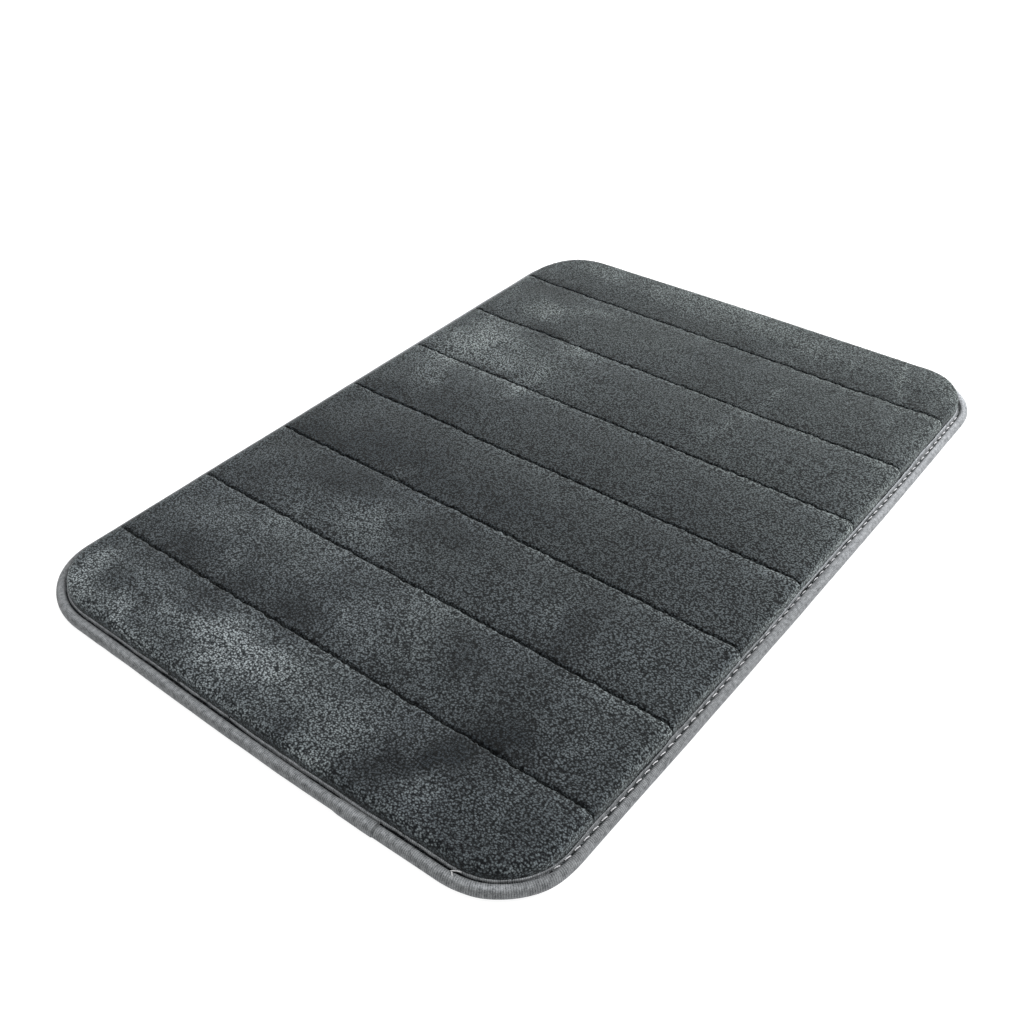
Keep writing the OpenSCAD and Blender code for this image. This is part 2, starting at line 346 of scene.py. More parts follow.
def outward(x, y):
    """Unit direction out of the mat at points near its edge."""
    away_x = x - np.clip(x, -STRAIGHT_X, STRAIGHT_X)
    away_y = y - np.clip(y, -STRAIGHT_Y, STRAIGHT_Y)
    size = np.maximum(np.hypot(away_x, away_y), 1e-6)
    return away_x / size, away_y / size


def channel_rise(offset):
    """How far a panel has risen from 0 to 1 at a distance from its channel."""
    return rise((np.abs(offset) - SLIT) / (LIP_W - SLIT), LIP_ROUND)


def gather_at_channels(x):
    """Moves points towards the channels, so that the steep sides have as many as the flats."""
    depth = TOP_Z - CHANNEL_Z
    moved = x.copy()
    for centre in CHANNEL_X:
        for side in (-1, 1):
            reach = min(36.0, STRAIGHT_X - side * centre)
            fine = np.linspace(0, reach, 2000)
            run = running(np.hypot(np.diff(fine), depth * np.diff(channel_rise(fine))))
            share = side * (x - centre) / reach
            inside = (share >= 0) & (share < 1)
            shifted = centre + side * np.interp(share * run[-1], run, fine)
            moved = np.where(inside, shifted, moved)
    return moved


def nearest_channel(x):
    """Distance from the nearest channel, with its sign, and the channel's number."""
    offsets = np.stack([x - centre for centre in CHANNEL_X])
    number = np.abs(offsets).argmin(0)
    return np.take_along_axis(offsets, number[None], 0)[0], number


def padded_surface():
    """Smooth top of the cover as a grid of points, with how far each has risen from its channel
    and how far in it is from the edge."""
    insets, heights = rim_section()
    x, y, ring = ring_grid(insets)
    inset, high = insets[ring], heights[ring]
    x = gather_at_channels(x)
    offset, number = nearest_channel(x)
    # The stitches pull the lips in and down at each hole, and the slit wanders a little.
    pull = 0.5 + 0.5 * np.cos(2 * math.pi * (y / QUILT_STITCH + 0.37 * number))
    wander = 0.65 * rough_noise(11, 7, y, number * 50.0) + 0.35 * smooth_noise(12, 2.9, y, x / 6)
    near = bell(offset, 4)
    edge = smoothstep(8, 14, inset)
    squeezed = offset + wander * near * edge
    fringe = smooth_noise(13, 1.9, y, number * 40.0 + 15 * np.sign(offset))
    grown = np.abs(squeezed) - 0.08 * (1 - pull) + 0.34 * fringe * near * edge
    grown = grown * (1 + 0.35 * smoothstep(-150, 150, x))
    up = channel_rise(grown)
    floor = np.minimum(CHANNEL_Z, high)
    sag = 0.45 * pull * near * edge
    wave = 0.35 * smooth_noise(21, 55, x, y) + 0.18 * smooth_noise(22, 21, x, y)
    bulk = smoothstep(14, 40, inset)
    crown = 1.1 * (1 - smoothstep(0, 30, np.abs(offset))) * bulk
    out_x, out_y = outward(x, y)
    # The rim stands proud along the +X side, and spreads over the seam elsewhere.
    far_rim = smoothstep(0.3, 0.9, out_x) * (x > STRAIGHT_X)
    proud = 1.2 * far_rim * smoothstep(8.7, 12, inset) * (1 - smoothstep(16, 50, inset))
    z = floor + (high + wave * bulk + proud - crown - sag - floor) * up
    bulge = 2.0 * far_rim * smoothstep(8.6, 9.2, inset) * (1 - smoothstep(11, 26, inset))
    x = x + bulge
    at_side = long_foot(x) * (1 - smoothstep(0.3, 0.9, np.abs(out_x)))
    diagonal = 1.6 * np.abs(out_x * out_y) + 2.0 * np.clip(-out_x * out_y, 0, 1) * (x > 0)
    spread = smoothstep(6.8, 8.6, inset) * (1 - smoothstep(12, 30, inset)) * (at_side + diagonal)
    return np.stack([x + out_x * spread, y + out_y * spread, z], axis=2), up, inset


# ---- nap and painted light ----

# Marks of painted sheen where the pile has been brushed: centre, half length and half width in
# millimetres, turn in degrees and strength. A positive strength is a light mark.
NAP_SHEEN_MARKS = (
    # the first panel: brushed light in the middle and at the +Y end, dark in a slanting band
    (-258, 48, 30, 17, 80, 1.6), (-250, 8, 22, 16, 90, 0.6), (-262, -45, 24, 22, 60, 0.75),
    (-284, 168, 12, 22, 20, 1.5), (-258, 172, 16, 9, 0, 1.3), (-288, 110, 6, 24, 0, 0.7),
    (-278, 128, 14, 7, 30, 1.1), (-240, 92, 14, 9, 80, -1.0), (-262, 142, 12, 6, 70, -0.5),
    (-286, -26, 9, 6, 0, -0.7), (-258, -94, 42, 9, -32, -1.3), (-246, -114, 14, 14, 0, -0.9),
    (-270, -114, 10, 9, 30, 0.55), (-284, -152, 16, 9, 60, -0.6), (-262, -170, 22, 7, 6, -0.45),
    (-240, -150, 8, 14, 0, 0.15), (-262, 98, 18, 12, 60, 0.5), (-246, 140, 9, 20, 0, 0.4),
    (-266, 50, 34, 90, 0, 0.3),
    # the second
    (-213, 138, 17, 13, 80, -1.15), (-213, 84, 10, 12, 90, -0.9), (-211, 37, 14, 14, 20, -0.95),
    (-180, 150, 12, 22, 20, 0.5), (-196, 104, 22, 5, 12, 0.45), (-162, 100, 9, 34, 10, 0.45),
    (-200, 0, 20, 14, 30, 0.6), (-178, -30, 26, 14, 40, 0.5), (-186, -72, 18, 8, 30, -0.6),
    (-214, -122, 20, 17, -12, -0.85), (-182, -112, 22, 16, -10, -0.6), (-172, -74, 12, 18, 0, -0.45),
    (-198, -160, 24, 4, 4, 0.35), (-190, -176, 30, 6, 0, -0.35), (-174, 60, 14, 14, 0, 0.25),
    # the third
    (-122, 66, 28, 17, 60, 0.9), (-138, 112, 16, 12, 60, 0.45), (-92, 50, 14, 9, -35, 0.45),
    (-94, 104, 13, 24, 10, -0.75), (-104, 168, 8, 8, 0, 0.45), (-134, 162, 14, 12, 0, -0.45),
    (-96, 14, 14, 24, 0, -0.6), (-104, -88, 26, 2.4, 4, 0.55), (-116, -108, 34, 11, 0, -0.6),
    (-128, -30, 18, 18, 0, -0.15), (-120, -150, 18, 16, 0, 0.15), (-146, -96, 7, 22, 0, -0.4),
    # the fourth and fifth
    (-66, 81, 6, 5, 0, 1.0), (-52, 60, 16, 60, 0, -0.5), (-30, 158, 20, 14, 30, 0.35),
    (-66, 160, 10, 20, 0, -0.7), (-44, -20, 12, 34, 0, -0.35), (-40, -90, 30, 26, 0, -0.2),
    (-46, 105, 12, 30, 10, -0.3), (-20, -66, 34, 3.0, 2, 0.2), (12, 165, 8, 14, 0, -0.5),
    (50, 150, 22, 11, 25, 0.85), (66, 84, 12, 7, 0, 0.9), (24, 112, 20, 20, 0, -0.4),
    (30, 176, 14, 6, 0, 0.4), (20, -110, 26, 40, 0, -0.2), (12, -64, 14, 4, 0, 0.4),
    # the sixth and seventh, brushed light along the +Y side
    (98, 172, 30, 12, 0, 1.15), (104, 152, 30, 12, 8, 1.3), (98, 122, 18, 16, 15, 1.1),
    (96, 84, 16, 8, 0, 0.7), (104, 98, 34, 34, 0, 0.45), (128, 140, 16, 12, -30, 0.9),
    (140, 168, 10, 14, 0, 0.8), (120, 96, 14, 12, 0, 0.3), (146, 80, 7, 14, 0, 0.9),
    (110, 60, 34, 14, 0, 0.15), (184, 142, 14, 13, -10, 1.3), (204, 116, 20, 7, -55, 0.7),
    (214, 96, 12, 5, -60, 0.4), (158, 118, 7, 11, 0, -1.0), (170, 98, 12, 10, 0, 0.35),
    (200, 180, 28, 5, 16, 0.5), (166, 172, 10, 9, 0, 0.35), (222, 160, 9, 14, 10, -0.7),
    (180, 20, 20, 40, 0, 0.1), (126, -66, 16, 4, 4, 0.75), (186, -75, 24, 2.8, -3, 0.7),
    (150, -70, 10, 2.5, 0, 0.35),
    # the last
    (236, 150, 5, 24, 0, -0.9), (276, 140, 10, 20, 0, 0.7), (256, 176, 16, 6, 30, 0.4),
    (284, 60, 7, 40, 0, 0.45), (284, 0, 7, 30, 0, 0.45), (264, 76, 14, 4, 20, 0.3),
    (262, -146, 34, 3.2, 14, 0.75), (212, -160, 20, 2.8, 10, 0.45), (272, -172, 24, 12, 30, 0.3),
    (238, -60, 4, 10, 0, 0.6), (240, 60, 8, 50, 0, -0.15), (262, -108, 22, 3, 2, 0.25),
    (274, -10, 22, 140, 0, 0.8), (160, -184, 120, 12, 0, 0.5), (150, -25, 80, 24, 0, -0.2),
    # the middle of the mat, a little darker
    (0, -10, 80, 130, 0, -0.42), (-30, 150, 60, 50, 0, -0.45),
)


def nap_and_painted_light(x, y):
    """Painted light and shade of the brushed pile, about -2 to 2, with ragged edges to each mark."""
    ragged_x = x + 9 * rough_noise(31, 16, x, y) + 4.5 * rough_noise(33, 5, x, y)
    ragged_y = y + 9 * rough_noise(35, 16, x, y) + 4.5 * rough_noise(37, 5, x, y)
    total = 0.20 * rough_noise(41, 26, x, y) + 0.16 * rough_noise(43, 8, x, y)
    total = total * (1 - 0.5 * smoothstep(-60, 200, x))
    for mark_x, mark_y, long, wide, turn, strength in NAP_SHEEN_MARKS:
        across, up = ragged_x - mark_x, ragged_y - mark_y
        cos, sin = math.cos(math.radians(turn)), math.sin(math.radians(turn))
        far = ((across * cos + up * sin) / long) ** 2 + ((up * cos - across * sin) / wide) ** 2
        total = total + 1.2 * strength * np.exp(-0.6 * far ** 1.3)
    # Painted light along the -X lip of each channel, where the pile splays, and painted shade along
    # the +X lip, where it stands open.
    offset, _ = nearest_channel(x)
    painted_lip_light = np.where(offset < 0, np.exp(-np.clip(-offset - 2.2, 0, None) / 5), 0)
    painted_lip_light = painted_lip_light * (0.35 + 0.75 * smoothstep(-240, -60, x))
    total = total + painted_lip_light - 0.6 * np.where(offset > 0, np.exp(-offset / 11), 0)
    # The middle and the +X end lie a little darker all over.
    return total - 0.40 * smoothstep(-150, -90, x)


# ---- materials ----


class Nodes:
    """A new material and short ways to add nodes to it."""

    def __init__(self, name, roughness, specular, sheen=0.0, sheen_roughness=0.5, tint=(1, 1, 1)):
        self.material = bpy.data.materials.new(name)
        self.material.use_nodes = True
        self.tree = self.material.node_tree
        self.shader = self.tree.nodes["Principled BSDF"]
        self.shader.inputs["Roughness"].default_value = roughness
        self.shader.inputs["Specular IOR Level"].default_value = specular
        self.shader.inputs["Sheen Weight"].default_value = sheen
        self.shader.inputs["Sheen Roughness"].default_value = sheen_roughness
        self.shader.inputs["Sheen Tint"].default_value = (*tint, 1)
        self.place = self.add("ShaderNodeTexCoord").outputs["Object"]

    def add(self, kind, **settings):
        node = self.tree.nodes.new(kind)
        for key, value in settings.items():
            setattr(node, key, value)
        return node

    def link(self, source, target):
        self.tree.links.new(source, target)

    def attribute(self, name):
        return self.add("ShaderNodeAttribute", attribute_name=name).outputs["Fac"]

    def texture(self, kind, size_mm, stretch=(1, 1, 1)):
        """A texture fixed to the object, with features about size_mm across."""
        mapping = self.add("ShaderNodeMapping")
        mapping.inputs["Scale"].default_value = stretch
        self.link(self.place, mapping.inputs["Vector"])
        node = self.add(kind)
        node.inputs["Scale"].default_value = 1 / (size_mm * MM)
        self.link(mapping.outputs["Vector"], node.inputs["Vector"])
        return node

    def noise(self, size_mm, detail=2.0):
        node = self.texture("ShaderNodeTexNoise", size_mm)
        node.inputs["Detail"].default_value = detail
        return node.outputs["Fac"]

    def cells(self, size_mm, stretch):
        """How far a point is from the middle of its cell, and the cell's own random colour."""
        node = self.texture("ShaderNodeTexVoronoi", size_mm, stretch)
        return node.outputs["Distance"], node.outputs["Color"]

    def feed(self, sockets, values):
        """Sets each socket to a number, or links it to a source."""
        for socket, value in zip(sockets, values):
            if isinstance(value, (int, float)):
                socket.default_value = value
            else:
                self.link(value, socket)

    def math(self, operation, first, second):
        node = self.add("ShaderNodeMath", operation=operation)
        self.feed(node.inputs, (first, second))
        return node.outputs[0]

    def weighted(self, total, *terms):
        """total plus each (weight, source) of the terms."""
        for weight, source in terms:
            total = self.math("ADD", total, self.math("MULTIPLY", source, weight))
        return total

    def ramp(self, factor, stops):
        """Colour ramp of (position, colour) stops."""
        node = self.add("ShaderNodeValToRGB")
        elements = node.color_ramp.elements
        while len(elements) < len(stops):
            elements.new(0.5)
        for element, (position, colour) in zip(elements, stops):
            element.position = position
            element.color = (*colour, 1)
        self.link(factor, node.inputs["Fac"])
        return node.outputs["Color"]

    def product(self, first, second):
        """Two colours multiplied."""
        node = self.add("ShaderNodeMix", data_type="RGBA", blend_type="MULTIPLY")
        factor, colour_a, colour_b = (node.inputs[i] for i in (0, 6, 7))
        self.feed((factor, colour_a, colour_b), (1.0, first, second))
        return node.outputs[2]

    def colour(self, source):
        self.link(source, self.shader.inputs["Base Color"])

    def bump(self, height, strength, depth_mm):
        node = self.add("ShaderNodeBump")
        node.inputs["Strength"].default_value = strength
        node.inputs["Distance"].default_value = depth_mm * MM
        self.link(height, node.inputs["Height"])
        self.link(node.outputs["Normal"], self.shader.inputs["Normal"])


def pile_material():
    made = Nodes("plush_pile", 0.9, 0.15, sheen=0.25, sheen_roughness=0.4, tint=(0.92, 0.98, 0.96))
    tip, nap_light, shade = made.attribute("tip"), made.attribute("nap_and_painted_light"), made.attribute("shade")
    # Fibre ends in bunches of two sizes, with painted shade round the rims of the larger ones; tip
    # adds painted light on the tufts' tops and painted shade in the gaps.
    far, _ = made.cells(1.25, (1.0, 0.85, 1.0))
    _, bunch = made.cells(0.6, (1.0, 0.8, 1.0))
    level = made.weighted(0.1, (-2.2, far), (1, bunch), (1, tip))
    pile = made.ramp(made.weighted(0.5, (made.attribute("crisp"), level)), (
        (0.0, (0.003, 0.004, 0.005)),
        (0.25, (0.014, 0.016, 0.017)),
        (0.5, (0.037, 0.042, 0.044)),
        (0.75, (0.081, 0.092, 0.096)),
        (1.0, (0.155, 0.176, 0.182)),
    ))
    # Painted sheen of the brushed pile, and painted light and shade along the rim and the channels'
    # lips.
    nap_light_tint = made.ramp(made.weighted(0.5, (0.25, nap_light)), (
        (0.0, (0.24, 0.26, 0.29)),
        (0.25, (0.47, 0.48, 0.50)),
        (0.5, (0.81, 0.82, 0.84)),
        (0.75, (1.58, 1.57, 1.55)),
        (1.0, (2.75, 2.68, 2.60)),
    ))
    hue = made.ramp(shade, ((0.0, (0.96, 0.97, 1.0)), (1.0, (1.04, 1.05, 1.01))))
    made.colour(made.product(made.product(pile, nap_light_tint), hue))
    made.bump(made.noise(0.6, 3.0), 1.0, 0.5)
    return made.material


def tape_material():
    made = Nodes("ribbed_tape", 0.8, 0.2, sheen=0.12, tint=(0.94, 0.95, 1.0))
    blotches = made.noise(2.6, 3.0)
    threads = made.noise(0.42, 2.0)
    level = made.weighted(0, (0.22, made.attribute("rib")), (0.55, blotches), (0.80, threads))
    base = made.ramp(level, (
        (0.54, (0.040, 0.042, 0.043)),
        (0.7, (0.116, 0.122, 0.125)),
        (0.82, (0.180, 0.187, 0.191)),
        (1.0, (0.285, 0.295, 0.300)),
    ))
    # Painted light and shade: lighter on the roll's top, the short sides' lip and towards +X, darker
    # underneath and in the painted shadow beside the tape's end.
    painted_shading_tint = made.ramp(made.attribute("painted_shading"), (
        (0.2, (0.42, 0.42, 0.43)),
        (0.45, (0.84, 0.84, 0.85)),
        (0.7, (1.08, 1.08, 1.08)),
        (0.86, (1.45, 1.45, 1.46)),
        (1.0, (2.30, 2.30, 2.34)),
    ))
    made.colour(made.product(base, painted_shading_tint))
    made.bump(threads, 0.5, 0.15)
    return made.material


def thread_material(name, dark, light):
    made = Nodes(name, 0.6, 0.3, sheen=0.2)
    made.colour(made.ramp(made.noise(0.5, 2.0), ((0.3, dark), (0.7, light))))
    made.bump(made.noise(0.25, 2.0), 0.3, 0.05)
    return made.material


def foam_material():
    made = Nodes("foam", 0.9, 0.2, sheen=0.1)
    cells = made.noise(1.1, 3.0)
    made.colour(made.ramp(cells, (
        (0.3, (0.44, 0.39, 0.28)), (0.5, (0.66, 0.61, 0.47)), (0.75, (0.78, 0.73, 0.60)),
    )))
    made.bump(cells, 0.7, 0.5)
    return made.material


def backing_material():
    made = Nodes("knit_backing", 0.85, 0.2, sheen=0.15)
    level = made.weighted(0, (0.7, made.attribute("loop")), (0.3, made.noise(0.8, 2.0)))
    made.colour(made.ramp(level, (
        (0.15, (0.018, 0.021, 0.025)), (0.55, (0.050, 0.056, 0.063)), (0.95, (0.085, 0.094, 0.104)),
    )))
    made.bump(made.noise(0.5, 2.0), 0.5, 0.15)
    return made.material


def dot_material():
    made = Nodes("vinyl_dots", 0.38, 0.5)
    made.colour(made.ramp(made.noise(2.0, 2.0), (
        (0.3, (0.020, 0.022, 0.025)), (0.7, (0.034, 0.037, 0.041)),
    )))
    made.bump(made.noise(0.4, 2.0), 0.25, 0.05)
    return made.material


# ---- pile cover ----


def make_cover():
    """The plush cover. Returns what the foam under it is made from, on a coarser grid: the
    cover's middle, its normals, how far in from the edge each point is, and the underside."""
    surface, up, inset_grid = padded_surface()
    normals = grid_normals(surface)
    points, flat_normals = surface.reshape(-1, 3), normals.reshape(-1, 3)
    inset = inset_grid.ravel()
    x, y = points[:, 0], points[:, 1]

    # Short dense pile, coarser towards the -X end, and combed a little along the width.
    coarse = 1 - smoothstep(-160, 120, x + 0.35 * y)
    combed = points * (1.0, 0.82, 1.0)
    bend = 0.9 * smooth_noise(51, 7, x, y)
    combed = combed + np.stack([bend, -bend, 0 * bend], 1)
    dome, tuft = tufts(61, 1.3, combed)
    clump, _ = tufts(71, 4.6, combed)
    pile_share = smoothstep(8.2, 8.8, inset)
    grain = smooth_noise(81, 0.9, *points.T)
    clump = (clump - 0.5) * (0.3 + 0.7 * coarse)
    height = (0.10 + 0.08 * coarse) * (dome - 0.45) * (0.6 + 0.8 * tuft) + 0.06 * clump
    speck = hash01(83, np.arange(len(points))) - 0.5
    height += 0.10 * grain + 0.20 * speck
    grown = points + flat_normals * (height * pile_share)[:, None]

    coarse_grid, coarse_normals, coarse_inset, coarse_up = (
        part[::COARSE, ::COARSE] for part in (surface, normals, inset_grid, up)
    )
    rows, columns = coarse_grid.shape[:2]
    low_count = rows * columns
    thick = CLOTH_T + 2.3 * smoothstep(9, 24, coarse_inset) * smoothstep(0.5, 1.0, coarse_up)
    underside = coarse_grid - coarse_normals * thick[:, :, None]
    # Coarser than the top, so it keeps well clear of the channels' bottoms.
    clear = np.clip(np.abs(nearest_channel(coarse_grid[:, :, 0])[0]) - 2.5, 0, None)
    underside[:, :, 2] = np.minimum(underside[:, :, 2], CHANNEL_Z - CLOTH_T + 0.9 * clear)

    top_rim = rim_index(*surface.shape[:2])
    low_rim = rim_index(rows, columns) + len(grown)
    sides = []
    for k, here in enumerate(low_rim):
        fine = [top_rim[(k * COARSE + step) % len(top_rim)] for step in range(COARSE + 1)]
        sides.append(fine[::-1] + [here, low_rim[(k + 1) % len(low_rim)]])
    low_faces = grid_quads(rows, columns)[:, ::-1] + len(grown)

    rough = 0.75 + 0.4 * coarse
    # tip: painted light on the tufts' tops and painted shade in the gaps between them, with random
    # specks of tone, and darker on the tuck below the pile's foot.
    tip = 0.5 + rough * (0.14 * (dome * (0.55 + 0.75 * tuft) - 0.42) + 0.08 * grain + 0.10 * clump)
    tip += 0.40 * speck
    tip = np.clip(tip, 0, 1) * (0.35 + 0.65 * pile_share)
    crisp = 0.78 + 0.55 * bell(x - 10, 130)
    shade = np.clip(0.5 + 0.0016 * x - 0.0010 * y + 0.3 * rough_noise(91, 40, x, y), 0, 1)
    # Painted light on the rim's splayed pile, most of all at the ends, but painted shade right at
    # its foot there. Along the long sides a painted highlight shows just above the seam.
    at_end = smoothstep(0.3, 0.9, np.abs(outward(x, y)[0]))
    lean = nap_and_painted_light(x, y) + (0.25 + 0.75 * at_end) * (1 - smoothstep(9, 17, inset))
    lean += (0.6 - 2.5 * at_end) * (1 - smoothstep(8.6, 9.8, inset))
    line = bell(inset - 9.1, 0.5) * bell(x, 130)
    lean += 1.0 * (1 - at_end) * line
    cover = new_piece(
        "pile_cover_plush", np.concatenate([grown, underside.reshape(-1, 3)]),
        [grid_quads(*surface.shape[:2]), np.array(sides), low_faces],
        pile_material(),
        attributes=[
            (key, np.concatenate([values, np.full(low_count, below)]))
            for key, values, below in (
                ("tip", tip, 0.3), ("nap_and_painted_light", lean, 0.0), ("shade", shade, 0.5), ("crisp", crisp, 1.0)
            )
        ],
    )
    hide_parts("pile_cover")
    return coarse_grid, coarse_normals, coarse_inset, underside


def make_foam(coarse_grid, coarse_normals, coarse_inset, underside):
    rows, columns = coarse_grid.shape[:2]
    low_count = rows * columns
    foam_top = underside - coarse_normals * 0.12
    foam_low = coarse_grid.copy()
    foam_low[:, :, 2] = BACKING_Z + BACKING_T + 0.05
    foam_low[:, :, 2] += 0.5 * bell(coarse_inset - SEAM_IN, 1.2)
    foam_top[:, :, 2] = np.maximum(foam_top[:, :, 2], foam_low[:, :, 2] + 0.8)
    upper = rim_index(rows, columns)
    lower = upper + low_count
    # Two more rings bulge out into the roll.
    bulge = 1.1
    ring_points = []
    for share in (0.3, 0.7):
        line = (1 - share) * foam_top.reshape(-1, 3)[upper] + share * foam_low.reshape(-1, 3)[upper]
        line[:, :2] += bulge * np.stack(outward(*line[:, :2].T), 1)
        ring_points.append(line)
    first = 2 * low_count + np.arange(len(upper))
    second = first + len(upper)
    bands = []
    for one, two in ((upper, first), (first, second), (second, lower)):
        bands.append(np.stack([one, two, np.roll(two, -1), np.roll(one, -1)], 1)[:, ::-1])
    foam = new_piece(
        "foam_core_slab",
        np.concatenate([foam_top.reshape(-1, 3), foam_low.reshape(-1, 3)] + ring_points),
        [grid_quads(rows, columns), grid_quads(rows, columns)[:, ::-1] + low_count] + bands,
        foam_material(),
    )
    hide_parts("foam_core")


# ---- binding ----

RIB = 1.2  # from one rib of the tape to the next
RIB_STEPS = 4  # points to a rib


def seam_wander(x):
    """Share of its wandering that the seam is off its line, along a long side."""
    return np.cos(2 * math.pi * x / 360)


def tape_section():
    """Outside of the folded tape, from its lower inner edge round the roll to its upper one, as
    (inset, height), closely spaced."""
    low = [
        (LAP_IN, 0.05), (8.0, 0.02), (7.2, 0.0), (6.5, 0.45), (6.0, 0.6), (5.5, 0.45), (4.8, 0.0),
    ]
    turns = np.radians(np.linspace(-90, 90, 17))
    roll = [(ROLL_W * (1 - math.cos(t)), ROLL_H / 2 * (1 + math.sin(t))) for t in turns]
    high = [
        (4.1, 7.85), (4.65, 7.6), (5.1, 7.0), (5.35, 6.3), (5.55, 5.7), (5.8, 5.35), (6.2, 5.25),
        (6.7, 5.35), (7.1, 5.8), (7.3, 6.5), (7.5, 7.2), (7.65, 7.75),
    ]
    return np.array(low + roll + high)


def make_binding():
    length = edge_length(SEAM_IN)
    stations = int(round(length / RIB)) * RIB_STEPS
    distance = np.arange(stations) * length / stations
    outside = tape_section()
    slope = np.gradient(outside, axis=0)
    normal = np.stack([-slope[:, 1], slope[:, 0]], 1)
    normal /= np.linalg.norm(normal, axis=1, keepdims=True)
    inside = (outside - TAPE_T * normal)[::-1]
    profile = np.concatenate([outside, inside])
    facing = np.concatenate([normal, -normal[::-1]])
    count, outer = len(profile), len(outside)

    # Rows run along the edge, with t, x0 and y0, and columns across the section, with q and z.
    t = distance[:, None]
    x0, y0, angle = (part[:, None] for part in edge_point(distance, 0, SEAM_IN))
    q = profile[None, :, 0]
    z = profile[None, :, 1]
    face = np.arange(count)[None, :] < outer
    upper = smoothstep(3.0, 5.0, q) * smoothstep(4, 6, z)  # the lap on top of the mat
    rolled = 1 - smoothstep(3.5, 5.5, q)
    near_short = smoothstep(0.3, 0.9, np.abs(np.cos(angle)))
    on_long = upper * (1 - near_short)
    bend = np.abs(np.sin(2 * angle))  # 1 half way round a corner

    def along(seed, size):
        return smooth_noise(seed, size, t, 0 * t)

    # Ribs across the tape, and the soft bulges and dips that sewing leaves.
    rib_pitch = length * RIB_STEPS / stations
    rib = 0.5 + 0.5 * np.cos(2 * math.pi * t / rib_pitch) + 0 * q
    stitches = int(round(length / STITCH))
    hole = 0.5 + 0.5 * np.cos(2 * math.pi * t * stitches / length)
    shift = 0.045 * (rib - 0.5) * face * (1 + 0.8 * along(103, 4))
    shift += rolled * (0.12 * smooth_noise(101, 34, t, z) + 0.07 * smooth_noise(102, 9, t, z))
    dent = 0.28 * hole * bell(q - SEAM_IN, 0.9) * (z > 4)
    shift -= dent * (1 - near_short)

    # The tape's end laps over its start: a step where it stops, and a soft swell where the start
    # begins under it.
    end_y, start_y = OVERLAP_Y - OVERLAP_LEN / 2, OVERLAP_Y + OVERLAP_LEN / 2
    on_edge = x0 < -LENGTH / 2 + 1
    double = on_edge * smoothstep(end_y - 0.35, end_y + 0.35, y0)
    double = double * (1 - smoothstep(start_y - 3, start_y + 3, y0))
    shift += 0.5 * double * face * (0.35 + 0.65 * smoothstep(1, 3, z))
    crease = on_edge * bell(y0 - end_y + 3.0, 1.6)
    shift -= 0.25 * crease * rolled * smoothstep(2, 5, z)

    inset = q + shift * facing[None, :, 0]
    height = z + shift * facing[None, :, 1]
    # The inner edge wavers, and stands up against the pile.
    lip = upper * smoothstep(6.4, 7.4, q)
    edge_wave = 0.35 * along(111, 26) + 0.18 * along(112, 6) - 0.8 * bend
    inset += lip * (edge_wave + 0.25 * near_short - long_foot(x0) * (1 - near_short))
    uneven = (0.30 - 0.18 * near_short) * along(113, 17)
    height += lip * (uneven - 0.15 + 0.35 * near_short)
    # The roll is fuller at the ends, and the seam wanders along the long sides.
    towards_lip = smoothstep(5.4, 7.0, q)
    wander = seam_wander(x0)
    inset += upper * near_short * (0.9 - 0.4 * towards_lip)
    inset += on_long * (0.80 * wander - 0.2) * (1 - towards_lip)
    inset += on_long * (0.41 * wander + 0.2) * towards_lip
    raised = 1.05 * on_long + 0.55 * upper * near_short
    height += raised * smoothstep(4.8, 5.5, q) * (1 - lip)
    height = np.maximum(height, 0.0)

    x, y, _ = edge_point(t + 0 * q, inset, SEAM_IN)
    # Painted light and shade on the tape: most light on the roll's top, the lip of the short sides
    # and towards +X, least underneath and in the painted shadow beside the tape's end.
    groove = smoothstep(4.6, 5.5, q) * upper * (1 - smoothstep(7.0, 7.5, q))
    on_top = smoothstep(6, 7.9, z) * (1 - groove)
    painted_shading = 0.45 + 0.16 * smoothstep(1.5, 6, z) + (0.14 + 0.18 * near_short) * on_top
    painted_shading += 0.16 * smoothstep(-200, 150, x0)
    painted_shading += 0.10 * (1 - near_short) * lip * (1 - groove)
    painted_shading += 0.45 * near_short * upper * smoothstep(7.2, 7.5, q)
    painted_shading += (0.15 * near_short - 0.05) * groove
    shadow = on_edge * bell(y0 - end_y + 0.8, 0.6)
    painted_shading -= 0.35 * shadow * smoothstep(3, 6, z)
    points = np.stack([x, y, height], 2).reshape(-1, 3)
    tape = new_piece(
        "edge_binding_tape", points,
        [grid_quads(stations, count, closed_rows=True, closed_columns=True)],
        tape_material(),
        attributes=(("rib", rib.ravel()), ("painted_shading", painted_shading.ravel())),
    )
    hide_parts("edge_binding")


# ---- thread ----


TWIST = 2.2  # length of one ply's turn in a thread
TUBE_SIDES = 8
STITCH_STEPS = 11  # points along a stitch


